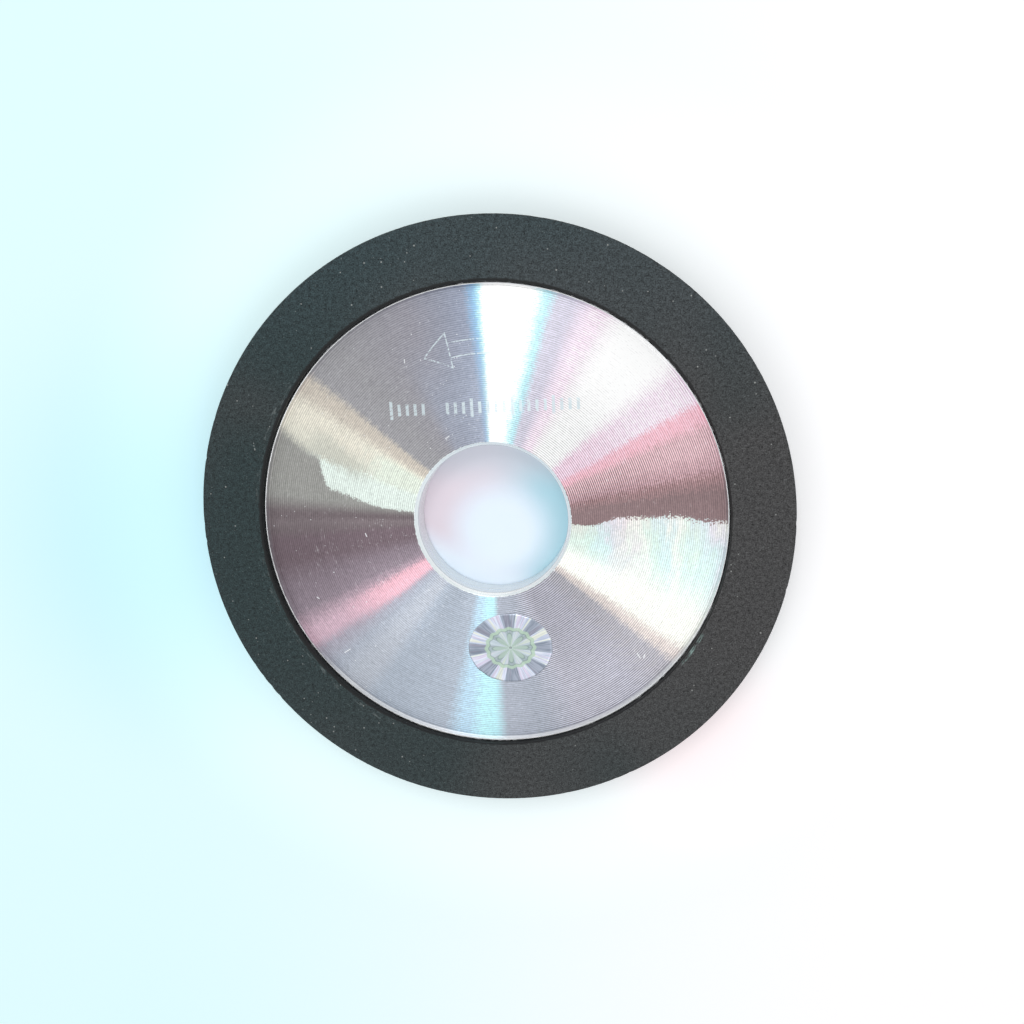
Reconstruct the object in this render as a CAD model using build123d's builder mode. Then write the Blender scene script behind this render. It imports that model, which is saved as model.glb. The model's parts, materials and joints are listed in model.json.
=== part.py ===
from build123d import *
import math
import os

os.makedirs("parts", exist_ok=True)

# A straight grinding wheel lying on its back, in millimetres. A turned aluminium hub carries a
# moulded ring of abrasive, and a thin oval sticker lies on the hub's front face. Z is the axis of
# the bore, and the origin is on it in the plane of the back.

# The four sizes by which such a wheel is ordered
wheel_diameter = 125.0
wheel_thickness = 10.0
bore_diameter = 32.0
abrasive_depth = 13.0

# Front of the hub: the turned face lies below the abrasive, and a lip rises round it
front_recess = 2.3
lip_height = 0.75
lip_slope_width = 0.45
lip_land = 0.1
lip_root_radius = 0.2

# Broken edges of the hub
bore_front_break_width = 0.75
bore_front_break_height = 0.9
bore_back_break = 0.4
rim_front_break = 0.3
rim_back_break = 0.2

# Broken edges of the abrasive
ring_outer_break = 0.2
ring_inner_front_break = 0.25
ring_inner_back_break = 0.2

# Keys: ridges of the abrasive that fill grooves in the hub's rim
key_count = 2
key_spacing = 3.2
key_depth = 0.8
key_mouth_width = 1.8
key_root_width = 1.2

# Sticker: an oval whose rim has one flat for each ray of its print
sticker_length = 18.5
sticker_height = 15.6
sticker_thickness = 0.1
sticker_flats = 16
sticker_corner_radius = 0.6
sticker_bore_margin = 3.8
sticker_bearing = -82.1
sticker_turn = 4.5

# Worked out from the sizes above
wheel_radius = wheel_diameter / 2
bore_radius = bore_diameter / 2
rim_radius = wheel_radius - abrasive_depth
face_level = wheel_thickness - front_recess
lip_level = face_level + lip_height
lip_crest_radius = rim_radius - rim_front_break - lip_land
lip_root = lip_crest_radius - lip_slope_width
key_middle = (rim_back_break + lip_level - rim_front_break) / 2
key_levels = [key_middle + (index - (key_count - 1) / 2) * key_spacing for index in range(key_count)]
sticker_distance = bore_radius + bore_front_break_width + sticker_bore_margin + sticker_height / 2

# Section of the keys, which the hub loses and the abrasive gains
with BuildSketch(Plane.XZ) as key_section:
    with Locations(*[(rim_radius, level) for level in key_levels]):
        Polygon(
            (0, key_mouth_width / 2),
            (-key_depth, key_root_width / 2),
            (-key_depth, -key_root_width / 2),
            (0, -key_mouth_width / 2),
            align=None,
        )

# Hub: its half section turned about the axis
with BuildPart() as hub:
    with BuildSketch(Plane.XZ) as hub_section:
        with BuildLine():
            Polyline(
                (bore_radius, 0),
                (rim_radius, 0),
                (rim_radius, lip_level),
                (lip_crest_radius, lip_level),
                (lip_root, face_level),
                (bore_radius, face_level),
                close=True,
            )
        make_face()
        root_corner = hub_section.vertices().sort_by_distance((lip_root, face_level, 0))[0]
        fillet(root_corner, lip_root_radius)
        add(key_section.sketch_local, mode=Mode.SUBTRACT)
    revolve(axis=Axis.Z)
    circles = hub.edges().filter_by(GeomType.CIRCLE)
    bore_rims = circles.filter_by(lambda edge: math.isclose(edge.radius, bore_radius)).sort_by(Axis.Z)
    outer_rims = circles.filter_by(lambda edge: math.isclose(edge.radius, rim_radius)).sort_by(Axis.Z)
    front_face = hub.faces().filter_by(Axis.Z).filter_by(lambda face: face.center().Z > 0).sort_by(SortBy.AREA)[-1]
    chamfer(bore_rims[-1], bore_front_break_width, bore_front_break_height, reference=front_face)
    chamfer(bore_rims[0], bore_back_break)
    chamfer(outer_rims[-1], rim_front_break)
    chamfer(outer_rims[0], rim_back_break)
hub.part.label = "hub"

# Abrasive ring: a plain rectangular section with its keys, moulded on to the rim
with BuildPart() as abrasive_ring:
    with BuildSketch(Plane.XZ) as ring_section:
        with BuildLine():
            Polyline(
                (rim_radius, 0),
                (wheel_radius, 0),
                (wheel_radius, wheel_thickness),
                (rim_radius, wheel_thickness),
                close=True,
            )
        make_face()
        inner_corners = ring_section.vertices().group_by(Axis.X)[0].sort_by(Axis.Y)
        outer_corners = ring_section.vertices().group_by(Axis.X)[-1]
        chamfer(outer_corners, ring_outer_break)
        chamfer(inner_corners[-1], ring_inner_front_break)
        chamfer(inner_corners[0], ring_inner_back_break)
        add(key_section.sketch_local)
    revolve(axis=Axis.Z)
abrasive_ring.part.label = "abrasive_ring"

# Sticker: the oval's rim points stand half a flat off its long axis
bearing = math.radians(sticker_bearing)
turn = math.radians(sticker_turn)
sticker_plane = Plane(
    origin=(sticker_distance * math.cos(bearing), sticker_distance * math.sin(bearing), face_level),
    x_dir=(math.cos(turn), math.sin(turn), 0),
    z_dir=(0, 0, 1),
)
flat_angle = 2 * math.pi / sticker_flats
rim_angles = [(index + 0.5) * flat_angle for index in range(sticker_flats)]
with BuildPart() as foil_sticker:
    with BuildSketch(sticker_plane) as sticker_outline:
        rim_points = [
            (sticker_length / 2 * math.cos(angle), sticker_height / 2 * math.sin(angle)) for angle in rim_angles
        ]
        Polygon(*rim_points, align=None)
        fillet(sticker_outline.vertices(), sticker_corner_radius)
    extrude(amount=sticker_thickness)
foil_sticker.part.label = "foil_sticker"

export_step(hub.part, "parts/hub.step")
export_step(abrasive_ring.part, "parts/abrasive_ring.step")
export_step(foil_sticker.part, "parts/foil_sticker.step")
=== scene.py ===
import bpy
import json
import math
import numpy as np
from mathutils import Matrix, Vector


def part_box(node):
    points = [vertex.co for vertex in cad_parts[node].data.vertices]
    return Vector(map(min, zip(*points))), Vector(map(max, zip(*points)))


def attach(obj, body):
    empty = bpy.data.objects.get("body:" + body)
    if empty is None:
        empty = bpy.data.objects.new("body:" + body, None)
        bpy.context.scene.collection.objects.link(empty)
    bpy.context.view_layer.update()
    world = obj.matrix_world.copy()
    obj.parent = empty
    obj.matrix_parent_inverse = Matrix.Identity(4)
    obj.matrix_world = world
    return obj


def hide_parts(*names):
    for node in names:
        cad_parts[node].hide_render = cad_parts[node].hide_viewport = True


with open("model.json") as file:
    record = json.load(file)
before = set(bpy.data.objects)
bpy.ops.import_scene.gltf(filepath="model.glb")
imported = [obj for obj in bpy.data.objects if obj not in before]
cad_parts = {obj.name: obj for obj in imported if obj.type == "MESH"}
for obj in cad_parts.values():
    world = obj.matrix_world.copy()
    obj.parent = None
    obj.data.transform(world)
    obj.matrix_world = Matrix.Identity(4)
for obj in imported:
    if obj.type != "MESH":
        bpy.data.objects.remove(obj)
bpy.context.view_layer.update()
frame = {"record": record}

mm = 0.001
mounts = {mount["name"]: mount for mount in frame["record"]["mounts"]}
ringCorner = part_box("abrasive_ring")[1] / mm
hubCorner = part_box("hub")[1] / mm
wheelRadius, wheelThickness = ringCorner.x, ringCorner.z
rimRadius, lipLevel = hubCorner.x, hubCorner.z
boreRadius = mounts["arbor_bore"]["dims"]["r_mm"]
faceLevel = mounts["front_clamping_face"]["pos_m"][2] / mm
print("frame loaded: wheel", round(wheelRadius * 2, 2), "by", round(wheelThickness, 2), "mm")


# Shader maths. Wire wraps one output of a node, and sums on it add Math nodes to the same tree.
class Wire:
    def __init__(self, shader, socket):
        self.shader = shader
        self.socket = socket

    def __add__(self, other):
        return self.shader.math("ADD", self, other)

    def __radd__(self, other):
        return self.shader.math("ADD", other, self)

    def __sub__(self, other):
        return self.shader.math("SUBTRACT", self, other)

    def __rsub__(self, other):
        return self.shader.math("SUBTRACT", other, self)

    def __mul__(self, other):
        return self.shader.math("MULTIPLY", self, other)

    def __rmul__(self, other):
        return self.shader.math("MULTIPLY", other, self)

    def __truediv__(self, other):
        return self.shader.math("DIVIDE", self, other)

    def __neg__(self):
        return self.shader.math("MULTIPLY", self, -1)

    def __abs__(self):
        return self.shader.math("ABSOLUTE", self)

    # Another output of the same node
    def other(self, output):
        return Wire(self.shader, self.socket.node.outputs[output])


# The nodes of a material or of the world
class Shader:
    def __init__(self, owner):
        self.owner = owner
        owner.use_nodes = True
        self.nodes, self.links = owner.node_tree.nodes, owner.node_tree.links
        self.nodes.clear()

    # One node: its settings are set first, then the values or links of its sockets
    def node(self, kind, settings=None, sockets=None, output=0):
        made = self.nodes.new(kind)
        for key, value in (settings or {}).items():
            if key == "stops":
                self.setStops(made.color_ramp, value)
            else:
                setattr(made, key, value)
        for key, value in (sockets or {}).items():
            if isinstance(value, Wire):
                self.links.new(value.socket, made.inputs[key])
            else:
                made.inputs[key].default_value = value
        return Wire(self, made.outputs[output]) if made.outputs else None

    # A new ramp has two stops: one goes, and the other becomes the first of these
    def setStops(self, ramp, stops):
        while len(ramp.elements) > 1:
            ramp.elements.remove(ramp.elements[-1])
        for index, (place, colour) in enumerate(stops):
            stop = ramp.elements[0] if index == 0 else ramp.elements.new(place)
            stop.position = place
            stop.color = colour

    def math(self, operation, *values):
        return self.node("ShaderNodeMath", {"operation": operation}, dict(enumerate(values)))

    def low(self, first, second):
        return self.math("MINIMUM", first, second)

    def high(self, first, second):
        return self.math("MAXIMUM", first, second)

    # 0 below start and 1 past end, with a soft S between; start may lie above end
    def step(self, value, start, end):
        if start > end:
            return 1 - self.step(value, end, start)
        sockets = {0: value, 1: start, 2: end, 3: 0.0, 4: 1.0}
        return self.node("ShaderNodeMapRange", {"interpolation_type": "SMOOTHSTEP"}, sockets)

    # 1 within half a width of middle, falling to 0 over the softness
    def band(self, value, middle, halfWidth, softness):
        return self.step(abs(value - middle), halfWidth + softness, halfWidth)

    def point(self, x, y, z):
        return self.node("ShaderNodeCombineXYZ", None, {0: x, 1: y, 2: z})

    def noise(self, place, scale, detail, roughness=0.5):
        sockets = {"Vector": place, "Scale": scale, "Detail": detail, "Roughness": roughness}
        return self.node("ShaderNodeTexNoise", None, sockets)

    # Scattered spots: how far the nearest one is, and two random numbers of its own
    def spots(self, place, scale):
        distance = self.node("ShaderNodeTexVoronoi", None, {"Vector": place, "Scale": scale})
        own = self.node("ShaderNodeSeparateXYZ", None, {0: distance.other("Color")})
        return distance, own, own.other(1)

    def mix(self, share, first, second, blend="MIX"):
        settings = {"data_type": "RGBA", "blend_type": blend}
        return self.node("ShaderNodeMix", settings, {0: share, 6: first, 7: second}, 2)

    # A colour made lighter or darker by a factor
    def scaled(self, colour, factor):
        return self.mix(1.0, colour, self.point(factor, factor, factor), "MULTIPLY")

    def ramp(self, value, stops):
        return self.node("ShaderNodeValToRGB", {"stops": stops}, {0: value})

    # Object coordinates in millimetres
    def place(self):
        local = self.node("ShaderNodeTexCoord", None, None, "Object")
        spot = self.node("ShaderNodeVectorMath", {"operation": "SCALE"}, {0: local, "Scale": 1 / mm})
        x = self.node("ShaderNodeSeparateXYZ", None, {0: spot})
        return spot, x, x.other(1), x.other(2)

    # Radius, and bearing in degrees from the x axis
    def polar(self, x, y):
        radius = self.math("SQRT", x * x + y * y)
        bearing = self.math("ARCTAN2", y, x) * (180 / math.pi)
        return radius, bearing

    # How far a spot lies from a centre along a direction, and how far off to its left
    def along(self, x, y, centre, degrees):
        turn = math.radians(degrees)
        fromX, fromY = x - centre[0], y - centre[1]
        run = fromX * math.cos(turn) + fromY * math.sin(turn)
        rise = fromY * math.cos(turn) - fromX * math.sin(turn)
        return run, rise

    def bump(self, height, strength, distance):
        sockets = {"Height": height, "Strength": strength, "Distance": distance}
        return self.node("ShaderNodeBump", None, sockets)

    def finish(self, sockets):
        surface = self.node("ShaderNodeBsdfPrincipled", None, sockets)
        self.node("ShaderNodeOutputMaterial", None, {"Surface": surface})
        return self.owner


# A colour as it is seen, 0 to 1, to the linear one that a socket takes
def tone(red, green, blue):
    seen = np.array([red, green, blue])
    linear = np.where(seen <= 0.04045, seen / 12.92, ((seen + 0.055) / 1.055) ** 2.4)
    return (*linear.tolist(), 1.0)


# A grid of points that closes on itself both ways: its points, and one quad a cell facing outwards
def closedGrid(grid):
    rows, columns = grid.shape[:2]
    index = np.arange(rows * columns).reshape(rows, columns)
    across = np.roll(index, -1, 1)
    quads = np.stack([index, np.roll(index, -1, 0), np.roll(across, -1, 0), across], -1).reshape(-1, 4)
    points = grid.reshape(-1, 3)
    corner = points[quads]
    volume = np.einsum("ij,ij->", corner[:, 0], np.cross(corner[:, 1], corner[:, 2]))
    volume += np.einsum("ij,ij->", corner[:, 0], np.cross(corner[:, 2], corner[:, 3]))
    return points, quads if volume > 0 else quads[:, ::-1]


# One smooth object from a few closed grids, with its place in its mesh
def makePiece(name, *grids):
    points, quads, count = [], [], 0
    for grid in grids:
        somePoints, someQuads = closedGrid(grid)
        points.append(somePoints)
        quads.append(someQuads + count)
        count += len(somePoints)
    points, quads = np.concatenate(points), np.concatenate(quads)
    mesh = bpy.data.meshes.new(name)
    mesh.vertices.add(len(points))
    mesh.vertices.foreach_set("co", (points * mm).astype(np.float32).ravel())
    mesh.loops.add(quads.size)
    mesh.loops.foreach_set("vertex_index", quads.astype(np.int32).ravel())
    mesh.polygons.add(len(quads))
    mesh.polygons.foreach_set("loop_start", np.arange(0, quads.size, 4, dtype=np.int32))
    mesh.polygons.foreach_set("use_smooth", np.ones(len(quads), dtype=bool))
    mesh.update(calc_edges=True)
    mesh.validate()
    piece = bpy.data.objects.new(name, mesh)
    bpy.context.scene.collection.objects.link(piece)
    print("made", name, "with", 2 * len(quads), "triangles")
    return piece


# Radius, bearing in degrees and height to a grid of points
def turnedGrid(radius, bearing, height):
    angle = np.radians(bearing)
    return np.stack(np.broadcast_arrays(radius * np.cos(angle), radius * np.sin(angle), height), -1)


arcPoints = 3
uncut = 100.0  # a step longer than any edge, so that the edge stays whole


# How far from a corner its rounding begins
def arcReach(before, spot, after, rounding):
    toBefore, toAfter = before - spot, after - spot
    cosine = toBefore @ toAfter / np.linalg.norm(toBefore) / np.linalg.norm(toAfter)
    return rounding / math.tan(0.5 * math.acos(float(np.clip(cosine, -1, 1))))


# A closed outline in radius and height. Each corner (radius, height, rounding, step) becomes an arc
# that touches both its edges, and the edge after it is cut into stretches no longer than its step.
def roundedOutline(corners):
    spots = np.array([corner[:2] for corner in corners], float)
    outline = []
    for index, (_, _, rounding, step) in enumerate(corners):
        before, spot, after, ahead = (spots[(index + offset) % len(spots)] for offset in (-1, 0, 1, 2))
        nextRounding = corners[(index + 1) % len(corners)][2]
        toBefore = (before - spot) / np.linalg.norm(before - spot)
        toAfter = (after - spot) / np.linalg.norm(after - spot)
        reach = arcReach(before, spot, after, rounding)
        start, end = spot + toBefore * reach, spot + toAfter * reach
        turn = np.linspace(0, 1, arcPoints if rounding else 1)[:, None]
        outline.append((1 - turn) ** 2 * start + 2 * turn * (1 - turn) * spot + turn**2 * end)
        stop = after - toAfter * arcReach(spot, after, ahead, nextRounding)
        cuts = int(np.linalg.norm(stop - end) / step)
        if cuts > 1:
            share = np.linspace(0, 1, cuts + 1)[1:-1, None]
            outline.append(end + share * (stop - end))
    return np.concatenate(outline)


# Soft random heights on a grid that repeats both ways: white noise whose waves shorter than the
# given number of cells are faded out by a bell curve, then scaled to a spread of 1
def softNoise(shape, cells, seed):
    white = np.random.default_rng(seed).standard_normal(shape)
    waves = np.fft.rfft2(white)
    along = np.fft.fftfreq(shape[0])[:, None] * cells[0]
    across = np.fft.rfftfreq(shape[1])[None, :] * cells[1]
    soft = np.fft.irfft2(waves * np.exp(-2 * (along**2 + across**2)), s=shape)
    return soft / soft.std()


keyForm = {
    "levels": (2.575, 5.775),
    "depth": 0.8,
    "mouth": 1.8,
    "root": 1.2,
}


# The keys' outline along the rim, upwards: at each level it dips into the hub by the key's depth
def keyCorners(form):
    corners = []
    for level in form["levels"]:
        for side, width, depth in ((-1, "mouth", 0), (-1, "root", 1), (1, "root", 1), (1, "mouth", 0)):
            corners.append((rimRadius - depth * form["depth"], level + side * form[width] / 2, 0.0, uncut))
    return corners


hubForm = {
    "segments": 300,
    "cornerRounding": 0.02,
    "backBreak": 0.4,
    "frontBreakWidth": 0.75,
    "frontBreakHeight": 0.9,
    "rimBackBreak": 0.2,
    "rimBreak": 0.3,
    "lipLand": 0.1,
    "lipSlope": 0.45,
    "lipRootRounding": 0.2,
    "groovePitch": 0.43,
    "grooveSamples": 3,
    "grooveDepth": 0.012,
}
burrForm = {
    "segments": 1500,
    "reach": 0.36,
    "offset": 0.05,  # how far its middle lies outside the crest, and its least reach
    "sink": 0.045,  # and how far it lies below the lip's top
    "halfHeight": 0.04,
    "droop": 0.05,
    "fineCells": 2.2,
    "broadCells": 14,
    "teeth": (0.35, 0.3, 0.2),  # their mean, and the shares of fine and broad noise
    "leastTeeth": 0.02,
    "toothed": ((57, 43), (-75, 56), (-150, 8), (133, 2)),  # where it has teeth: bearing, half width
    "cleanShare": 0.25,  # how much of them is left elsewhere
    "inward": (0.10, 0.04, 0.16),  # its inner reach, and what broad noise and the bright side add
    "brightHalfWidth": 70,
    "brightSoftness": 14,
    "seed": 11,
}
lipCrest = rimRadius - hubForm["rimBreak"] - hubForm["lipLand"]
lipRoot = lipCrest - hubForm["lipSlope"]
boreCrest = boreRadius + hubForm["frontBreakWidth"]
brightBearing = -84.0  # where the lip's sloped side faces the light


# Degrees between two bearings, the short way round
def apart(bearing, middle):
    return np.abs((bearing - middle + 180) % 360 - 180)


# How rough the burr is at a bearing: 1 where it has teeth and less where it is clean
def burrShare(bearing, form):
    ragged = np.zeros_like(bearing)
    for middle, halfWidth in form["toothed"]:
        ragged = np.maximum(ragged, np.clip((halfWidth - apart(bearing, middle)) / 3 + 0.5, 0, 1))
    return form["cleanShare"] + (1 - form["cleanShare"]) * ragged


# The burr is a ribbon on the lip's crest, and its outer edge has teeth
def burrGrid(form):
    count = form["segments"]
    bearing = np.arange(count)[:, None] * 360 / count
    fine = softNoise((count, 4), (form["fineCells"], 4), form["seed"])[:, :1]
    broad = softNoise((count, 4), (form["broadCells"], 4), form["seed"] + 1)[:, :1]
    mean, fineShare, broadShare = form["teeth"]
    teeth = np.clip(mean + fineShare * fine + broadShare * broad, form["leastTeeth"], 1)
    teeth = teeth * burrShare(bearing, form)
    turn = np.linspace(0, 2 * math.pi, 8, endpoint=False)[None, :]
    outward = np.cos(turn) > 0
    facing = (form["brightHalfWidth"] - apart(bearing, brightBearing)) / form["brightSoftness"]
    plain, broadShare, brightShare = form["inward"]
    inward = plain + broadShare * np.abs(broad) + brightShare * np.clip(facing, 0, 1)
    reach = np.where(outward, form["offset"] + form["reach"] * teeth, inward)
    radius = lipCrest + form["offset"] + reach * np.cos(turn)
    height = lipLevel - form["sink"] + form["halfHeight"] * np.sin(turn) - form["droop"] * teeth * outward
    return turnedGrid(radius, bearing, height)


# The hub is one outline turned about the axis. Its face is cut by fine grooves, each a cosine deep.
def makeHub(form):
    small = form["cornerRounding"]
    outline = roundedOutline([
        (boreRadius, form["backBreak"], small, uncut),
        (boreRadius + form["backBreak"], 0.0, small, 4.0),
        (rimRadius - form["rimBackBreak"], 0.0, small, uncut),
        (rimRadius, form["rimBackBreak"], 0.0, uncut),
        *keyCorners(keyForm),
        (rimRadius, lipLevel - form["rimBreak"], 0.0, 0.15),
        (lipCrest + form["lipLand"], lipLevel, small, uncut),
        (lipCrest, lipLevel, small, 0.2),
        (lipRoot, faceLevel, form["lipRootRounding"], form["groovePitch"] / form["grooveSamples"]),
        (boreCrest, faceLevel, 3 * small, 0.3),
        (boreRadius, faceLevel - form["frontBreakHeight"], small, 1.5),
    ])
    radius, height = outline[:, 0], outline[:, 1]
    onFace = (np.abs(height - faceLevel) < 1e-6) & (radius > boreRadius + 1) & (radius < lipRoot)
    wave = 0.5 - 0.5 * np.cos(2 * math.pi * radius / form["groovePitch"])
    height = height - np.where(onFace, form["grooveDepth"] * wave, 0.0)
    bearing = np.arange(form["segments"])[:, None] * 360 / form["segments"]
    body = turnedGrid(radius[None, :], bearing, height[None, :])
    return makePiece("turnedHub", body, burrGrid(burrForm))


ringForm = {
    "segments": 900,
    "edgeBreak": 0.2,
    "innerFrontBreak": 0.25,
    "innerBackBreak": 0.2,
    "outerRounding": 0.06,
    "innerRounding": 0.08,
    "backRounding": 0.03,
    "cell": 0.4,
    "grain": 0.012,
    "swell": 0.010,
    "chips": 70,
    "innerChips": 0.6,  # the share of them that is in the inner edge
    "chipDepth": 0.16,
    "chipWidths": (0.25, 0.7),
    "chipReach": 0.35,
    "flashReach": 0.26,
    "flashLevel": 8.4,
    "flashHalfHeight": 0.1,
    "seed": 5,
}


# The ring is one outline turned about the axis, with its points moved by noise
def makeRing(form):
    cell, edgeBreak = form["cell"], form["edgeBreak"]
    outer, inner = form["outerRounding"], form["innerRounding"]
    outline = roundedOutline([
        (rimRadius, form["innerBackBreak"], 0.0, uncut),
        (rimRadius + form["innerBackBreak"], 0.0, form["backRounding"], 2 * cell),
        (wheelRadius - edgeBreak, 0.0, outer, uncut),
        (wheelRadius, edgeBreak, outer, 1.5 * cell),
        (wheelRadius, wheelThickness - edgeBreak, outer, uncut),
        (wheelRadius - edgeBreak, wheelThickness, outer, cell),
        (rimRadius + form["innerFrontBreak"], wheelThickness, inner, uncut),
        (rimRadius, wheelThickness - form["innerFrontBreak"], inner, 0.25),
        (rimRadius, form["flashLevel"] + form["flashHalfHeight"], 0.0, 0.1),
        (rimRadius, form["flashLevel"] - form["flashHalfHeight"], 0.0, uncut),
        *keyCorners(keyForm)[::-1],
    ])
    bearing = np.arange(form["segments"])[:, None] * 360 / form["segments"]
    shape = (form["segments"], len(outline))
    radius, height = np.broadcast_to(outline[:, 0], shape), np.broadcast_to(outline[:, 1], shape)

    # Grain and slow swell sink the wall and the top, so that the ring stays inside its true size
    sink = form["grain"] * np.abs(softNoise(shape, (1.5, 1.5), form["seed"]))
    sink = sink + form["swell"] * (1 + np.clip(softNoise(shape, (60, 20), form["seed"] + 1), -1, 1))
    onWall = radius > wheelRadius - edgeBreak / 2
    onTop = height > wheelThickness - edgeBreak / 2
    radius = radius - np.where(onWall, sink, 0)
    height = height - np.where(onTop, sink, 0)

    # Chips: small dents in the front edges, each a round bell as deep as it is drawn
    draw = np.random.default_rng(form["seed"] + 2)
    centres = draw.uniform(0, 360, form["chips"])
    widths = draw.uniform(*form["chipWidths"], form["chips"])
    depths = form["chipDepth"] * draw.uniform(0.2, 1.0, form["chips"]) ** 2
    inside = draw.random(form["chips"]) < form["innerChips"]
    for edgeRadius, mine, away in ((wheelRadius, ~inside, -1), (rimRadius, inside, 1)):
        off = apart(bearing, centres[mine]) * math.pi / 180 * edgeRadius
        dent = (depths[mine] * np.exp(-((off / widths[mine]) ** 2))).sum(1)[:, None]
        fromEdge = (radius - edgeRadius) ** 2 + (height - wheelThickness) ** 2
        near = np.exp(-fromEdge / form["chipReach"] ** 2)
        radius = radius + away * dent * near
        height = height - dent * near

    # Flash: the dark resin that was squeezed out over the hub's broken rim
    flash = np.clip(0.75 + 0.5 * softNoise((form["segments"], 4), (5, 4), form["seed"] + 3)[:, :1], 0.1, 1.6)
    low = np.exp(-(((height - form["flashLevel"]) / 0.12) ** 2)) * (radius < rimRadius + 0.05)
    radius = radius - form["flashReach"] * flash * low
    return makePiece("abrasiveRing", turnedGrid(radius, bearing, height))


stickerForm = {
    "length": 18.5,
    "height": 15.6,
    "thickness": 0.1,
    "rays": 16,
    "turn": 4.5,
    "raySamples": 12,
    "rings": 22,
    "middle": 0.02,  # where the rings begin, as a share of the way out
    "cornerCut": 0.012,
    "emboss": 0.02,
    "petals": 8,
}
stickerBox = [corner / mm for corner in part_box("foil_sticker")]
stickerForm["centre"] = (stickerBox[0] + stickerBox[1]) / 2


# The sticker is a polygon stretched to an oval, with its corners rounded off. Along a bearing t its
# edge lies at cos(half a flat) / cos(t from the middle of the flat), times half its length and height.
def makeSticker(form):
    steps = form["rays"] * form["raySamples"]
    angle = np.arange(steps) * 2 * math.pi / steps
    flat = 2 * math.pi / form["rays"]
    fromMiddle = (angle + flat / 2) % flat - flat / 2
    corner = np.abs(fromMiddle) / (flat / 2)
    edge = math.cos(flat / 2) / np.cos(fromMiddle) * (1 - form["cornerCut"] * corner**6)
    share = np.concatenate([np.linspace(form["middle"], 1, form["rings"]), [1.0, 0.5, form["middle"]]])
    level = np.concatenate([np.ones(form["rings"] - 1), [0.75, 0.0, 0.0, 0.0]]) * form["thickness"]
    alternate = np.where(np.floor((angle + flat / 2) / flat) % 2 == 0, 1.0, 0.0)
    ridge = alternate[:, None] * np.sin(np.clip(share, 0, 1) * math.pi) ** 0.5
    raised = np.where(level > 0.9 * form["thickness"], 1.0, 0.0)
    height = faceLevel + level[None, :] - form["emboss"] * raised[None, :] * (1 - ridge)
    across = form["length"] / 2 * (edge * np.cos(angle))[:, None] * share
    along = form["height"] / 2 * (edge * np.sin(angle))[:, None] * share
    turn = math.radians(form["turn"])
    x = form["centre"].x + across * math.cos(turn) - along * math.sin(turn)
    y = form["centre"].y + across * math.sin(turn) + along * math.cos(turn)
    return makePiece("foilSticker", np.stack([x, y, height], -1))


# Painted sheen of the turned face: the reflection that the fine grooves throw back at each bearing, painted
# as tones by name
tones = {
    "loam": (0.445, 0.407, 0.42),
    "peat": (0.475, 0.437, 0.45),
    "umber": (0.438, 0.385, 0.411),
    "mauve": (0.515, 0.47, 0.505),
    "thistle": (0.56, 0.512, 0.55),
    "rose": (0.80, 0.687, 0.742),
    "coral": (0.935, 0.725, 0.775),
    "lilac": (0.66, 0.642, 0.692),
    "silver": (0.71, 0.73, 0.77),
    "steel": (0.67, 0.705, 0.755),
    "rain": (0.715, 0.825, 0.895),
    "ice": (0.735, 0.905, 0.935),
    "slate": (0.672, 0.695, 0.743),
    "zinc": (0.735, 0.735, 0.782),
    "pewter": (0.705, 0.70, 0.73),
    "sand": (0.85, 0.815, 0.80),
    "cream": (0.945, 0.955, 0.92),
    "mint": (0.835, 0.92, 0.895),
    "bone": (0.83, 0.87, 0.855),
    "shell": (0.87, 0.865, 0.86),
    "plum": (0.55, 0.47, 0.477),
    "brick": (0.645, 0.525, 0.535),
    "heath": (0.755, 0.625, 0.65),
    "heather": (0.84, 0.71, 0.735),
    "blush": (0.955, 0.75, 0.80),
    "orchid": (0.95, 0.885, 0.935),
    "white": (1.0, 1.0, 1.0),
    "haze": (0.785, 0.775, 0.83),
    "foam": (0.69, 0.86, 0.89),
    "azure": (0.55, 0.70, 0.83),
    "ash": (0.575, 0.605, 0.675),
    "stone": (0.612, 0.608, 0.645),
    "flint": (0.612, 0.61, 0.625),
    "gold": (0.765, 0.735, 0.695),
    "straw": (0.85, 0.835, 0.785),
    "wheat": (0.785, 0.785, 0.74),
    "pearl": (0.83, 0.872, 0.847),
    "chalk": (0.86, 0.905, 0.86),
    "dew": (0.83, 0.925, 0.88),
    "frost": (0.81, 0.915, 0.935),
    "veil": (0.85, 0.84, 0.90),
    "petal": (0.92, 0.87, 0.89),
    "olive": (0.578, 0.578, 0.565),
}
sheenBelow = [
    (-180, "loam"), (-178.3, "peat"), (-176, "loam"), (-173, "umber"), (-167, "umber"), (-160, "mauve"),
    (-153.3, "thistle"), (-147, "rose"), (-144, "rose"), (-141.3, "lilac"), (-136, "slate"),
    (-131, "silver"), (-127, "silver"), (-123, "steel"), (-103, "steel"), (-98.5, "rain"), (-96.5, "rain"),
    (-92.8, "ice"), (-89, "ice"), (-86, "slate"), (-76, "slate"), (-66, "zinc"), (-50, "zinc"),
    (-42, "pewter"), (-38.6, "pewter"), (-36.4, "sand"), (-34.7, "sand"), (-32, "cream"), (-25, "cream"),
    (-13, "mint"), (-5.5, "bone"), (-1.5, "shell"),
]
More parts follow.
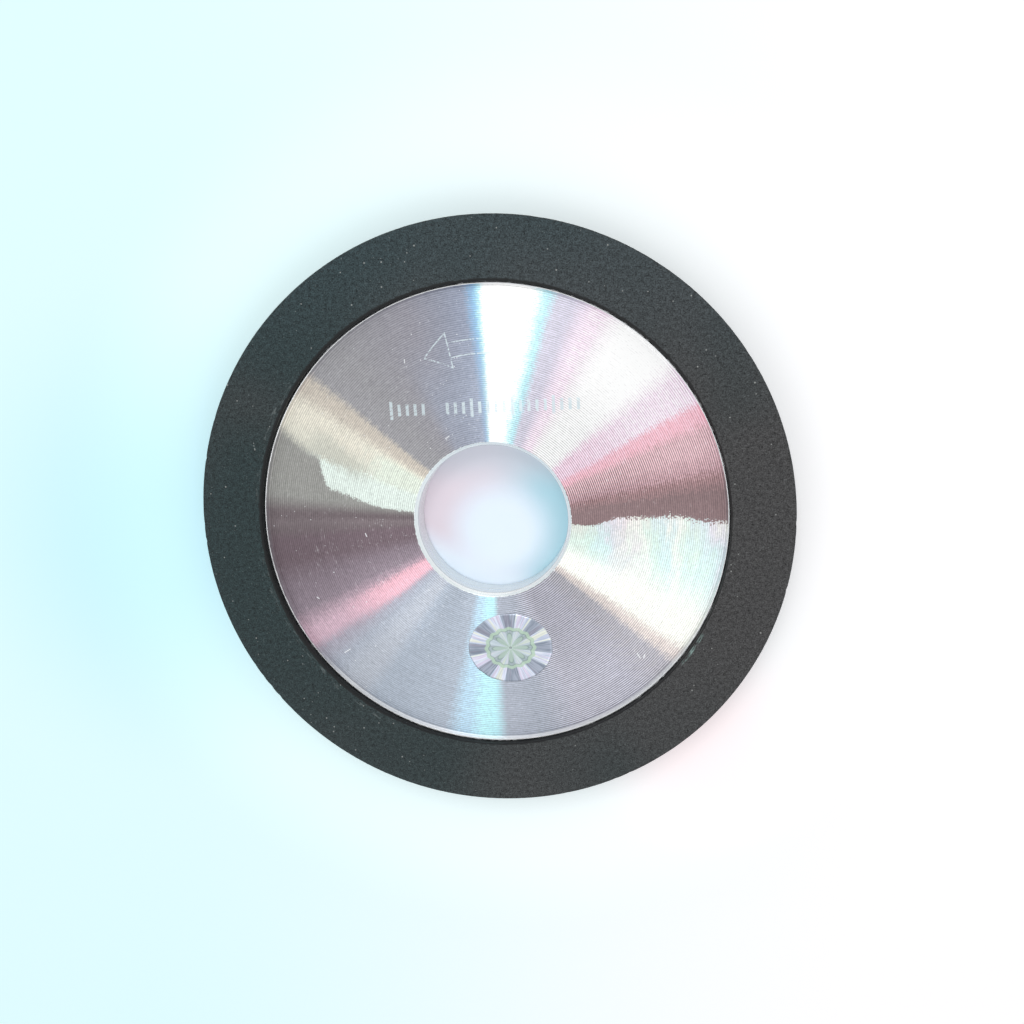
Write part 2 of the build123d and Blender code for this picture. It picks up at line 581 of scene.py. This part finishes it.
sheenAbove = [
    (0, "shell"), (0.7, "plum"), (8.5, "plum"), (12.8, "brick"), (15, "heath"), (20.5, "heather"),
    (24.5, "heather"), (27.5, "blush"), (30.3, "blush"), (32.3, "orchid"), (39, "orchid"), (45, "white"),
    (56, "white"), (62.5, "orchid"), (64.5, "orchid"), (70, "haze"), (73.7, "haze"), (76.3, "foam"),
    (81, "white"), (91.8, "white"), (93.2, "foam"), (94.4, "azure"), (96.9, "ash"), (112, "stone"),
    (132, "flint"), (140.7, "flint"), (143, "gold"), (146, "gold"), (149.5, "straw"), (152.5, "straw"),
    (159.5, "wheat"), (162, "pearl"),
]
# Painted iridescent tints of the palest wedge, ring by ring
rainbow = [
    "chalk", "dew", "frost", "veil", "petal", "cream", "dew", "frost", "cream", "dew", "frost", "veil",
    "cream",
]
# Painted sheen: wedges painted brighter or duller towards the bore
innerLifts = [  # wedges that are brighter or duller towards the bore: bearing, half width, softness, lift
    (-134.0, 7.0, 11.0, 0.22), (-50.0, 12.0, 8.0, -0.20), (-165.0, 12.0, 5.0, 0.20),
    (17.0, 4.0, 4.0, -0.08), (46.0, 30.0, 6.0, -0.14), (-10.0, 8.0, 6.0, -0.10),
]
# Contrasts of the painted sheen and of the painted light and shade from groove to groove, with the grooves'
# streaks and grain
paintedSheenAndGrooves = {
    "lineContrast": 0.34,
    "streakContrast": 0.50,
    "grainContrast": 0.45,
    "patchContrast": 0.10,
    "grooveShare": 0.30,
    "ragged": 3.4,  # how far specks throw the wedges' edges about, in degrees
    "raggedPatch": 2.6,  # and how much farther at the edges of the two palest wedges
    "rainbowShare": 0.55,
}
nicks = [  # nicks that stand alone: bearing, radius, length and lean from the grooves
    (-42.4, 42.6, 1.2, 75.0), (-41.4, 43.5, 0.7, 20.0), (-136.9, 44.2, 1.5, 80.0), (-154.6, 42.6, 0.5, 30.0),
    (67.0, 19.2, 0.5, 10.0), (118.0, 19.9, 0.9, 8.0), (-172.0, 27.6, 0.7, 15.0), (118.6, 37.9, 0.7, 65.0),
]
markForm = {
    "arrowRadius": 36.6,
    "arrowEnd": 78.0,
    "arrowNeck": 104.0,
    "arrowTip": 112.5,
    "arrowHalfBand": 1.5,
    "arrowHalfHead": 3.6,
    "stroke": 0.12,
    "scaleStart": (-22.0, 22.9),
    "scaleTurn": 3.06,  # in degrees from the x axis, as the arrow's places are
    "scalePitch": 1.7,
    "scaleLength": 40.8,
    "scaleGap": (8.5, 11.9),
    "barShare": 0.16,
    "longBar": 1.9,
    "shortBar": 1.2,
}


# The painted sheen's tone at a bearing: each half turn has a ramp of its own
def sheen(shader, bearing):
    halves = []
    for first, stops in ((-180, sheenBelow), (0, sheenAbove)):
        places = [((degree - first) / 180, tone(*tones[name])) for degree, name in stops]
        halves.append(shader.ramp((bearing - first) / 180, places))
    return shader.mix(shader.math("GREATER_THAN", bearing, 0.0), *halves)


# The bearing whose painted sheen a spot takes: a wedge's edge is ragged, and some bend or fan out with the
# radius
def throwLight(shader, radius, bearing, ragged):
    inward = shader.step(radius, 46.0, 18.0)
    roseFan = shader.band(bearing, -145.5, 8.0, 6.0) * (bearing + 147.5) * 0.06
    whiteFan = shader.low(shader.high(bearing - 75.5, 0.0), 6.0) * shader.step(bearing, 89.0, 85.0) * 0.5
    whiteEnd = shader.band(bearing, 93.0, 3.0, 4.0) * -0.4
    plumBend = 0.6 + shader.step(radius, 44.0, 38.0) * 1.7 - shader.step(radius, 27.0, 20.0) * 4.6
    bent = shader.band(bearing, 0.0, 6.0, 4.0) * plumBend
    thrown = bearing + ragged - bent - (roseFan + whiteEnd) * inward
    return thrown - whiteFan * shader.step(radius, 38.0, 18.0)


# The pale wedge of painted sheen on the left: it ends on a line that bends with the radius, a grey band
# runs through it, and it is creamy by the bore. Past that line the painted sheen is dull.
def paleSheenWedge(shader, colour, radius, bearing, ragged, patches):
    edge = 157.3 + shader.step(radius, 49.0, 40.0) * 3.2 + shader.step(radius, 40.0, 35.5) * 8.5
    edge = edge + shader.step(radius, 40.0, 20.0) * 6
    sharp = 0.6 + shader.step(radius, 40.0, 36.0) * 1.8
    past = shader.step((bearing + ragged * 0.8 - edge) * sharp, -1.0, 1.0)
    greyAxis = bearing + (radius - 42) * 0.45 + (patches - 0.5) * 6
    grey = shader.band(greyAxis, 155.5, 1.5, 4.0) * shader.math("GREATER_THAN", bearing, 0.0)
    grey = grey * shader.step(radius, 26.0, 31.0) * shader.step(radius, 44.0, 40.0)
    colour = shader.mix(grey * 0.45, colour, tone(0.69, 0.70, 0.665))
    creamy = shader.band(bearing, 156.0, 3.5, 5.0) * shader.step(radius + (patches - 0.5) * 8, 32.0, 24.0)
    colour = shader.mix(creamy * 0.85, colour, tone(0.835, 0.872, 0.825))
    dull = shader.mix(shader.step(bearing, 173.5, 179.5), tone(*tones["olive"]), tone(*tones["loam"]))
    return shader.mix(past * shader.step(bearing, 150.0, 151.0), colour, dull)


# Painted iridescent sheen in the palest wedge, on the right: each ring of grooves has a tint, strongest
# by the wedge's upper edge
def rainbowRings(shader, colour, radius, thrown, drift, patches):
    share = (radius - 15.5) / 35 + (drift - 0.5) * 0.35 + (patches - 0.5) * 0.16 + thrown * 0.004
    stops = [((index + 0.5) / len(rainbow), tone(*tones[name])) for index, name in enumerate(rainbow)]
    tints = shader.ramp(share, stops)
    within = shader.step(thrown, -33.0, -8.0) * shader.math("LESS_THAN", thrown, 0.3)
    return shader.mix(within * paintedSheenAndGrooves["rainbowShare"], colour, tints)


# The nicks' strokes, each a short bar with its lean from the groove that it crosses
def nickStrokes(shader, x, y):
    strokes = None
    for degree, distance, length, lean in nicks:
        bearing = math.radians(degree)
        centre = (distance * math.cos(bearing), distance * math.sin(bearing))
        run, rise = shader.along(x, y, centre, degree + 90 + lean)
        stroke = shader.step(shader.high(abs(run) - length / 2, abs(rise)), 0.14, 0.05)
        strokes = stroke if strokes is None else shader.high(strokes, stroke)
    return strokes


# The marks' strokes: an arrow and a scale. The arrow is the outline of a curved band joined to a
# triangle, drawn in dots. The scale is a row of bars with one gap, and each fifth bar is longer.
def marks(shader, x, y, radius, bearing, speck, form):
    unroll = form["arrowRadius"] * math.pi / 180
    along = (bearing - form["arrowEnd"]) * unroll
    off = abs(radius - form["arrowRadius"])
    neck = (form["arrowNeck"] - form["arrowEnd"]) * unroll
    tip = (form["arrowTip"] - form["arrowEnd"]) * unroll
    shaft = shader.high(off - form["arrowHalfBand"], shader.high(-along, along - neck))
    slope = form["arrowHalfHead"] / (tip - neck)
    head = shader.high((off - (tip - along) * slope) * math.cos(math.atan(slope)), neck - along)
    arrow = shader.step(abs(shader.low(shaft, head)), form["stroke"] * 1.5, form["stroke"] * 0.7)
    arrow = arrow * shader.step(speck, 0.38, 0.54)

    run, rise = shader.along(x, y, form["scaleStart"], form["scaleTurn"])
    share = run / form["scalePitch"]
    number = shader.math("FLOOR", share)
    bar = shader.band(share - number, 0.5, form["barShare"], 0.06)
    fifth = shader.math("LESS_THAN", shader.math("MODULO", number, 5.0), 0.5)
    reach = form["shortBar"] + fifth * (form["longBar"] - form["shortBar"])
    length = shader.step(abs(rise) - reach, 0.08, -0.08)
    within = shader.math("GREATER_THAN", run, 0.0) * shader.math("LESS_THAN", run, form["scaleLength"])
    low, high = form["scaleGap"]
    gap = shader.math("GREATER_THAN", run, low) * shader.math("LESS_THAN", run, high)
    return shader.high(arrow, bar * length * within * (1 - gap))


# Specks are as fine as dust, streaks and patches run along the grooves, and slow and drift change
# only over a good part of a turn
def turnedAluminium():
    shader = Shader(bpy.data.materials.new("turnedAluminium"))
    spot, x, y, z = shader.place()
    radius, bearing = shader.polar(x, y)
    across, along = x / radius, y / radius
    profile = radius + z

    # Each groove throws the light a little off its neighbour, so the painted sheen's edges are ragged
    speck = shader.noise(spot, 2.3, 2.0, 0.6)
    eachGroove = shader.noise(shader.point(profile * 1.8, across * 0.6, along * 0.6), 1.0, 3.0, 0.7)
    streaks = shader.noise(shader.point(across * 34, along * 34, profile * 3.4), 1.0, 3.0, 0.65)
    patches = shader.noise(shader.point(across * 13, along * 13, profile * 1.1), 1.0, 2.0, 0.6)
    slow = shader.noise(shader.point(across * 2, along * 2, radius * 0.08), 1.0, 1.0)
    drift = shader.noise(shader.point(across * 3, along * 3, radius * 0.25), 1.0, 1.0)
    palest = shader.high(shader.band(bearing, 2.0, 10.0, 8.0), shader.band(bearing, 167.0, 9.0, 4.0))
    ragged = (speck - 0.5) * (paintedSheenAndGrooves["ragged"] + palest * paintedSheenAndGrooves["raggedPatch"])
    ragged = ragged + (eachGroove - 0.5) * 1.6 + (slow - 0.5) * 1.2
    thrown = throwLight(shader, radius, bearing, ragged)
    colour = sheen(shader, thrown)
    colour = paleSheenWedge(shader, colour, radius, bearing, ragged, patches)
    colour = rainbowRings(shader, colour, radius, thrown, drift, patches)

    # Painted sheen: towards the bore the rose wedges are painted redder, and some wedges brighter or duller
    inward = shader.step(radius, 42.0, 24.0)
    redder = shader.band(thrown, -144.8, 2.0, 4.0) * inward * 0.85
    colour = shader.mix(redder, colour, tone(*tones["coral"]))
    redder = shader.band(thrown, 35.5, 3.5, 4.5) * shader.step(radius, 38.0, 20.0) * 0.6
    colour = shader.mix(redder, colour, tone(0.95, 0.80, 0.87))
    bluer = shader.band(bearing, 105.0, 8.0, 10.0) * shader.step(radius, 44.0, 24.0) * 0.7
    colour = shader.mix(bluer, colour, tone(0.625, 0.655, 0.72))
    lift = 0.03
    for middle, halfWidth, softness, share in innerLifts:
        lift = lift + shader.band(bearing, middle, halfWidth, softness) * share
    lift = 1.03 + lift * inward + shader.band(bearing, 50.0, 5.0, 6.0) * (1 - inward) * 0.25
    colour = shader.scaled(colour, lift)

    # Turned lines: painted light and shade from groove to groove, crisper where they face the light aslant,
    # with fine streaks along them
    crisp = 1 + shader.band(bearing, -56.0, 11.0, 16.0) * 2.2
    crisp = crisp + shader.band(bearing, 18.0, 4.0, 6.0) * (1.5 + inward)
    crisp = crisp + shader.band(bearing, 48.0, 22.0, 10.0) * (0.4 + inward * 0.6)
    wave = shader.math("SINE", (radius + slow * 0.5) * (2 * math.pi / hubForm["groovePitch"])) * 0.5
    lines = 1 + wave * crisp * paintedSheenAndGrooves["lineContrast"] * (0.5 + patches)
    lines = lines + (eachGroove - 0.5) * paintedSheenAndGrooves["grooveShare"] + (streaks - 0.5) * paintedSheenAndGrooves["streakContrast"]
    lines = lines + (patches - 0.5) * paintedSheenAndGrooves["patchContrast"] + (speck - 0.5) * paintedSheenAndGrooves["grainContrast"]
    colour = shader.scaled(colour, lines)

    # Short bright scratches along the grooves, specks of dust, and the nicks
    scratchAt, scratchOwn, _ = shader.spots(shader.point(across * 15, along * 15, radius * 2.6), 1.5)
    rubbed = shader.step(slow, 0.40, 0.60) * shader.step(radius, 47.0, 22.0) + 0.25
    scratch = shader.step(scratchAt, 0.20, 0.05) * shader.math("GREATER_THAN", scratchOwn, 0.90) * rubbed
    dustAt, dustOwn, dustSize = shader.spots(spot, 1.7)
    dusty = 0.965 - shader.band(bearing, 102.0, 10.0, 22.0) * 0.17
    dust = shader.step(dustAt + (speck - 0.5) * 0.3 - dustSize * 0.10, 0.12, 0.05) * (0.25 + dustSize * 0.7)
    dust = dust * shader.math("GREATER_THAN", dustOwn, dusty)
    brushed = shader.step(streaks, 0.54, 0.72) * shader.step(patches, 0.50, 0.64) * rubbed * 0.4
    nicked = nickStrokes(shader, x, y) * 0.8
    bright = shader.high(shader.high(scratch * 0.7, dust), shader.high(brushed, nicked))
    colour = shader.mix(bright, colour, tone(0.96, 0.97, 0.98))

    # Marks burnt into the face by laser, a little worn
    onFace = shader.math("GREATER_THAN", z, faceLevel - 0.08)
    worn = shader.step(streaks, 0.30, 0.48)
    burnt = marks(shader, x, y, radius, bearing, speck, markForm) * worn * onFace
    colour = shader.mix(burnt * 0.92, colour, tone(0.87, 0.92, 0.94))

    # The lip's crest and the bore's broken edge are cut bright, with ragged edges
    white = tone(1.0, 1.0, 1.0)
    # The lip's slope is painted lit where it faces the light and painted shaded elsewhere, with a painted
    # shade line at its root
    slope = shader.step(radius, lipRoot - 0.12, lipRoot + 0.08)
    facing = shader.band(bearing, brightBearing, 46.0, 16.0)
    slopeInPaintedShade = shader.mix(streaks, tone(0.50, 0.51, 0.54), tone(0.74, 0.75, 0.78))
    slopeInPaintedLight = shader.mix(streaks, tone(0.84, 0.86, 0.88), white)
    slopeTone = shader.mix(facing, slopeInPaintedShade, slopeInPaintedLight)
    crest = shader.step(radius + streaks * 0.3, lipCrest + 0.02, lipCrest + 0.12)
    colour = shader.mix(slope * (0.2 + facing * 0.6), colour, slopeTone)
    colour = shader.mix(crest, colour, shader.mix(streaks, tone(0.86, 0.88, 0.90), white))
    lipRootShade = shader.band(radius, lipRoot - 0.14, 0.04, 0.10)
    colour = shader.mix(lipRootShade * facing * 0.45, colour, tone(0.40, 0.40, 0.43))
    onBore = shader.step(radius - (streaks - 0.5) * 0.6, boreCrest + 0.08, boreCrest - 0.02)
    wallTop = faceLevel - hubForm["frontBreakHeight"]
    wallTone = shader.mix(streaks, tone(0.96, 0.98, 0.98), white)
    cutTone = shader.mix(streaks, tone(0.84, 0.90, 0.91), white)
    boreTone = shader.mix(shader.step(z, wallTop + 0.25, faceLevel - 0.25), wallTone, cutTone)
    # Painted shade lines on the bore's wall: one below its broken edge and one near the floor
    boreEdgeShade = shader.band(z, wallTop + 0.02, 0.03, 0.10) + shader.band(z, 0.9, 0.05, 0.14) * 0.7
    boreTone = shader.mix(boreEdgeShade * 0.4, boreTone, tone(0.42, 0.44, 0.47))
    colour = shader.mix(onBore, colour, boreTone)
    backTone = shader.mix(lines * 0.5, tone(0.52, 0.52, 0.55), tone(0.88, 0.88, 0.91))
    colour = shader.mix(shader.step(z, 1.0, 0.3) * (1 - onBore), colour, backTone)

    rough = 0.40 + (eachGroove - 0.5) * 0.15 + burnt * 0.15 - crest * 0.12 - onBore * 0.12
    normal = shader.bump(streaks * 0.6 + eachGroove - burnt * 0.4, 0.10, 0.02 * mm)
    return shader.finish({
        "Base Color": colour, "Metallic": 1.0, "Roughness": rough, "Anisotropic": 0.9,
        "Anisotropic Rotation": 0.25, "Normal": normal,
    })


# Painted light on the abrasive: greener and darker on the left, paler at the top; its outer wall is neutral
def resinAbrasive():
    shader = Shader(bpy.data.materials.new("resinAbrasive"))
    spot, x, y, z = shader.place()
    radius, bearing = shader.polar(x, y)
    across, along = x / radius, y / radius
    fine = shader.noise(spot, 3.4, 3.0, 0.7)
    medium = shader.noise(spot, 1.2, 2.0, 0.6)
    broad = shader.noise(spot, 0.03, 1.0) + x * 0.004
    # Painted cool light on the left, with slow random mottling, painted light at the top and a little at the
    # bottom
    colour = shader.mix(shader.step(broad, 0.25, 0.75), tone(0.175, 0.228, 0.235), tone(0.272, 0.272, 0.275))
    colour = shader.mix(shader.step(y, 20.0, 60.0) * 0.5, colour, tone(0.23, 0.29, 0.31))
    colour = shader.mix(shader.step(y, -20.0, -60.0) * 0.4, colour, tone(0.225, 0.25, 0.255))
    onWall = shader.step(radius, wheelRadius - 0.3, wheelRadius - 0.1)
    colour = shader.mix(onWall * 0.7, colour, tone(0.235, 0.25, 0.255))
    colour = shader.scaled(colour, 1 + (fine - 0.5) * 4.2 + (medium - 0.5) * 1.7)

    # Grit: pale grains, a few of them bright, and pits where grains have gone, with painted shade in them
    grainAt, grainOwn, _ = shader.spots(spot, 2.1)
    pale = shader.step(grainAt, 0.30, 0.10) * shader.step(grainOwn, 0.80, 0.90)
    pits = shader.step(grainAt, 0.30, 0.12) * shader.step(grainOwn, 0.22, 0.12)
    brightAt, brightOwn, brightSize = shader.spots(spot, 0.6)
    bright = shader.step(brightAt - brightSize * 0.06, 0.07, 0.03)
    bright = bright * shader.math("GREATER_THAN", brightOwn, 0.66)
    colour = shader.mix(pale * 0.42, colour, tone(0.47, 0.50, 0.50))
    colour = shader.mix(pits * 0.6, colour, tone(0.11, 0.12, 0.125))
    colour = shader.mix(bright * 0.6, colour, tone(0.72, 0.73, 0.72))

    # Aluminium rubbed on to the inner edge in three stretches
    streaks = shader.noise(shader.point(across * 26, along * 26, radius * 2.4), 1.0, 4.0, 0.7)
    scuffed = shader.high(shader.band(bearing, -143.0, 22.0, 8.0), shader.band(bearing, 160.0, 14.0, 4.0))
    smeared = shader.band(bearing, -31.5, 3.0, 2.0)
    inner = shader.band(radius, rimRadius + 1.15, 0.35, 0.5)
    onTop = shader.step(z, wheelThickness - 0.6, wheelThickness - 0.3)
    scuff = shader.step(streaks, 0.52, 0.70) * scuffed * inner * onTop
    smear = shader.step(streaks, 0.42, 0.62) * smeared * shader.band(radius, rimRadius + 0.5, 0.25, 0.2)
    colour = shader.mix(scuff * 0.45, colour, tone(0.55, 0.58, 0.58))
    colour = shader.mix(smear * 0.8, colour, tone(0.62, 0.74, 0.72))

    # Resin without grit: the flash over the hub's rim, and a band of painted shade round the inner edge
    # The band gives the flash and the inner wall the resin's dark tone, and on the top it is painted shade
    # of the gap, wider on the upper left
    wide = shader.step(shader.math("PINGPONG", bearing - 135.0, 180.0), 120.0, 90.0)
    innerEdgeShadeReach = rimRadius + 0.20 + wide * 0.35 + (streaks - 0.5) * (0.4 + wide * 0.5)
    innerEdgeShade = shader.step(radius - innerEdgeShadeReach, 0.12, -0.12)
    colour = shader.mix(innerEdgeShade * 0.92, colour, tone(0.055, 0.06, 0.065))

    height = fine * 0.7 + medium * 0.5 + pale * 0.4 - pits * 0.8 + bright * 0.3 - innerEdgeShade * 0.4
    normal = shader.bump(height, 0.6, 0.07 * mm)
    rough = 0.80 + (fine - 0.5) * 0.3 - innerEdgeShade * 0.2
    return shader.finish({
        "Base Color": colour, "Roughness": rough, "Specular IOR Level": 0.3, "Normal": normal,
    })


# The foil's painted sheen and print. Its places are shares of the oval's half length and half height.
def hologramFoil(form):
    shader = Shader(bpy.data.materials.new("hologramFoil"))
    _, x, y, _ = shader.place()
    run, rise = shader.along(x, y, form["centre"], form["turn"])
    across, along = run / (form["length"] / 2), rise / (form["height"] / 2)
    reach, bearing = shader.polar(across, along)
    rayShare = (bearing + 360) / (360 / form["rays"]) + 0.5
    number = shader.math("FLOOR", rayShare)
    inRay = rayShare - number
    pale = shader.math("GREATER_THAN", shader.math("MODULO", number, 2.0), 0.5)

    # Painted sheen: each ray is a fan of fine threads, grey in the dark ones, yellow, rose and lilac in the
    # pale ones
    fan = shader.point(across / reach, along / reach, reach * 0.09)
    threads = shader.noise(fan, 18.0, 2.0, 0.7)
    tints = shader.noise(fan, 9.0, 1.0, 0.6)
    streaky = shader.step(threads, 0.34, 0.66)
    paleTone = shader.mix(streaky, tone(0.71, 0.75, 0.83), tone(0.88, 0.90, 0.96))
    paleTone = shader.mix(shader.step(tints, 0.54, 0.62) * 0.55, paleTone, tone(0.90, 0.91, 0.78))
    paleTone = shader.mix(shader.step(tints, 0.46, 0.40) * 0.45, paleTone, tone(0.88, 0.80, 0.88))
    darkTone = shader.mix(streaky, tone(0.50, 0.54, 0.60), tone(0.66, 0.69, 0.75))
    darkTone = shader.mix(shader.step(tints, 0.46, 0.38) * 0.35, darkTone, tone(0.58, 0.54, 0.60))
    colour = shader.mix(pale, darkTone, paleTone)
    sideLine = 1 - shader.band(inRay, 0.5, 0.46, 0.03)
    colour = shader.mix(sideLine * 0.45, colour, tone(0.72, 0.80, 0.88))

    # A plain rosette in pale green: a wavy ring round a flower of eight petals
    ringEdge = 0.55 + 0.018 * shader.math("COSINE", bearing * (form["rays"] * math.pi / 180))
    ring = shader.band(reach - ringEdge, 0.0, 0.035, 0.02)
    ringLine = shader.band(abs(reach - ringEdge), 0.05, 0.006, 0.012)
    petals = 0.43 * abs(shader.math("COSINE", bearing * (form["petals"] / 2 * math.pi / 180)))
    petal = shader.step(reach - petals, 0.015, -0.02)
    petalLine = shader.band(reach - petals, 0.0, 0.010, 0.016)
    insideRing = shader.step(reach - ringEdge, 0.02, -0.03)
    green = shader.mix(threads, tone(0.64, 0.74, 0.66), tone(0.76, 0.85, 0.77))
    colour = shader.mix(insideRing * 0.45, colour, tone(0.70, 0.78, 0.76))
    colour = shader.mix(ring * 0.85, colour, green)
    colour = shader.mix(petal * 0.5, colour, green)
    colour = shader.mix(shader.high(ringLine, petalLine) * insideRing * 0.45, colour, tone(0.40, 0.48, 0.46))

    rim = shader.step(reach, 0.95, 0.985)
    colour = shader.mix(rim * 0.3, colour, tone(0.88, 0.92, 0.96))
    normal = shader.bump(threads, 0.15, 0.02 * mm)
    return shader.finish({
        "Base Color": colour, "Metallic": 0.9, "Roughness": 0.32 + (threads - 0.5) * 0.1, "Normal": normal,
    })


pieces = {
    "hub": (makeHub(hubForm), turnedAluminium(), "turned_aluminium"),
    "abrasive_ring": (makeRing(ringForm), resinAbrasive(), "resin_abrasive"),
    "foil_sticker": (makeSticker(stickerForm), hologramFoil(stickerForm), "holographic_foil"),
}
for node, (piece, material, slot) in pieces.items():
    piece.data.materials.append(material)
    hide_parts(node)
    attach(piece, "root")
print("pieces dressed")


studio = {
    "floorSize": 3.0,
    "leftTone": (0.862, 0.97, 0.98),
    "rightTone": (0.985, 0.98, 0.985),
    "blendWidth": 100.0,
    # Painted light and shade on the floor beside the wheel: a cool shade on the left and a rose glow at the
    # lower right
    "washes": [  # soft patches of colour beside the wheel: tone, middle and reach
        ((0.77, 0.94, 0.985), (-78.0, -8.0), 65.0),
        ((1.0, 0.945, 0.955), (47.0, -52.0), 30.0),
    ],
    # Painted reflections and shade on the floor seen through the bore
    "boreTone": (0.90, 0.95, 1.0),
    "boreLeft": (0.885, 0.845, 0.885),
    "boreRight": (0.675, 0.825, 0.88),
    "boreTop": (0.80, 0.82, 0.865),
    "seenGlow": 0.16,  # what the camera alone sees on top of the light on the floor
    "nearGlow": 0.10,  # and more of it in the soft shadow round the wheel
    "farGlow": 0.9,  # and far from the wheel, where the floor fades into the sky
    "fadeStart": 350.0,
    "fadeEnd": 1100.0,
    "skyTone": (1.0, 1.0, 1.0),
    "skyLevel": 0.70,
    "lamps": {
        "key": {
            "bearing": 95, "rise": 58, "distance": 0.9, "size": 0.30, "power": 1.25,
            "tone": (1.0, 1.0, 1.0),
        },
        "cool": {
            "bearing": 205, "rise": 50, "distance": 1.0, "size": 0.8, "power": 0.6,
            "tone": (0.93, 0.99, 1.0),
        },
        "warm": {
            "bearing": -48, "rise": 58, "distance": 1.0, "size": 0.35, "power": 0.55,
            "tone": (1.0, 0.97, 0.98),
        },
    },
}


# The floor is painted with a cool light's tint, pale cyan on the left fading to white on the right, with two
# soft patches of painted light and shade. Seen through the bore it has the painted reflections and shade
# that the bore's wall throws on it, rose on the left, blue on the right and grey at the top.
def makeFloor(form):
    shader = Shader(bpy.data.materials.new("paleFloor"))
    _, x, y, _ = shader.place()
    radius, _ = shader.polar(x, y)
    share = shader.step(x, -form["blendWidth"], form["blendWidth"])
    colour = shader.mix(share, tone(*form["leftTone"]), tone(*form["rightTone"]))
    for paintedTone, (middleX, middleY), reach in form["washes"]:
        fromMiddle, _ = shader.polar(x - middleX, y - middleY)
        colour = shader.mix(shader.step(fromMiddle, reach, 5.0) * 0.8, colour, tone(*paintedTone))
    thrownBack = shader.mix(shader.step(x, -3.0, 10.0), tone(*form["boreLeft"]), tone(*form["boreRight"]))
    thrownBack = shader.mix(shader.step(y, 4.0, 13.0) * 0.8, thrownBack, tone(*form["boreTop"]))
    offCentre, _ = shader.polar(x - 1.0, y + 4.0)
    near = shader.step(offCentre, 5.0, 14.5) * shader.step(y + x * 0.4, -16.0, -8.0)
    inBore = shader.mix(near, tone(*form["boreTone"]), thrownBack)
    colour = shader.mix(shader.step(radius, boreRadius + 3, boreRadius), colour, inBore)
    glow = form["seenGlow"] + shader.step(radius, form["fadeStart"], form["fadeEnd"]) * form["farGlow"]
    glow = glow + shader.band(radius, wheelRadius + 3, 7.0, 30.0) * form["nearGlow"]
    seenGlow = shader.node("ShaderNodeLightPath") * glow
    glow = shader.node("ShaderNodeEmission", None, {"Color": colour, "Strength": seenGlow})
    lit = shader.node("ShaderNodeBsdfDiffuse", None, {"Color": colour})
    surface = shader.node("ShaderNodeAddShader", None, {0: lit, 1: glow})
    shader.node("ShaderNodeOutputMaterial", None, {"Surface": surface})
    half = form["floorSize"] / 2
    corners = [(-half, -half, 0), (half, -half, 0), (half, half, 0), (-half, half, 0)]
    mesh = bpy.data.meshes.new("floor")
    mesh.from_pydata(corners, [], [(0, 1, 2, 3)])
    mesh.materials.append(shader.owner)
    floor = bpy.data.objects.new("floor", mesh)
    bpy.context.scene.collection.objects.link(floor)


# The sky lights the wheel softly, and is plain white where it is seen or mirrored
def makeSky(form):
    world = bpy.data.worlds.new("studioSky")
    bpy.context.scene.world = world
    shader = Shader(world)
    rays = shader.node("ShaderNodeLightPath")
    seen = shader.high(rays, rays.other("Is Glossy Ray"))
    seen = shader.high(seen, rays.other("Is Transmission Ray"))
    strength = shader.node("ShaderNodeMapRange", None, {"Value": seen, "To Min": form["skyLevel"]})
    sky = shader.node("ShaderNodeBackground", None, {"Color": tone(*form["skyTone"]), "Strength": strength})
    shader.node("ShaderNodeOutputWorld", None, {"Surface": sky})


# A lamp stands at a bearing and rise from the wheel's middle, and shines on it
def makeLamp(name, form):
    bearing, rise = math.radians(form["bearing"]), math.radians(form["rise"])
    toLamp = Vector((math.cos(bearing) * math.cos(rise), math.sin(bearing) * math.cos(rise), math.sin(rise)))
    light = bpy.data.lights.new(name, "AREA")
    light.size = form["size"]
    light.energy = form["power"]
    light.color = tone(*form["tone"])[:3]
    lamp = bpy.data.objects.new(name, light)
    bpy.context.scene.collection.objects.link(lamp)
    lamp.location = toLamp * form["distance"]
    lamp.rotation_euler = toLamp.to_track_quat("Z", "Y").to_euler()


makeFloor(studio)
makeSky(studio)
for name, form in studio["lamps"].items():
    makeLamp(name, form)
print("studio set")


# The camera stands over the wheel, leaning towards the upper right, as the photograph was taken.
# It looks at a spot of the plane of the wheel's front, and its distance is from the wheel's middle.
view = {
    "bearing": 59.0,
    "lean": 14.79,  # from the wheel's axis
    "distance": 222.0,
    "lookAt": (4.49, 2.47),
    "focalPixels": 1061.6,
    "framePixels": 1024,
}


def makeCamera(form):
    bearing, lean = math.radians(form["bearing"]), math.radians(form["lean"])
    back = Vector((math.cos(bearing) * math.sin(lean), math.sin(bearing) * math.sin(lean), math.cos(lean)))
    spot = (back * form["distance"] + Vector((0, 0, wheelThickness))) * mm
    target = Vector((*form["lookAt"], wheelThickness)) * mm
    ahead = (target - spot).normalized()
    right = ahead.cross(Vector((0, 1, 0))).normalized()
    up = right.cross(ahead)
    lens = bpy.data.cameras.new("camera")
    lens.sensor_width = 36.0
    lens.lens = form["focalPixels"] / form["framePixels"] * lens.sensor_width
    lens.clip_start = 0.01
    camera = bpy.data.objects.new("camera", lens)
    bpy.context.scene.collection.objects.link(camera)
    camera.matrix_world = Matrix.Translation(spot) @ Matrix((right, up, -ahead)).transposed().to_4x4()
    bpy.context.scene.camera = camera


makeCamera(view)
bpy.context.scene.view_settings.view_transform = "Standard"
print("camera set")
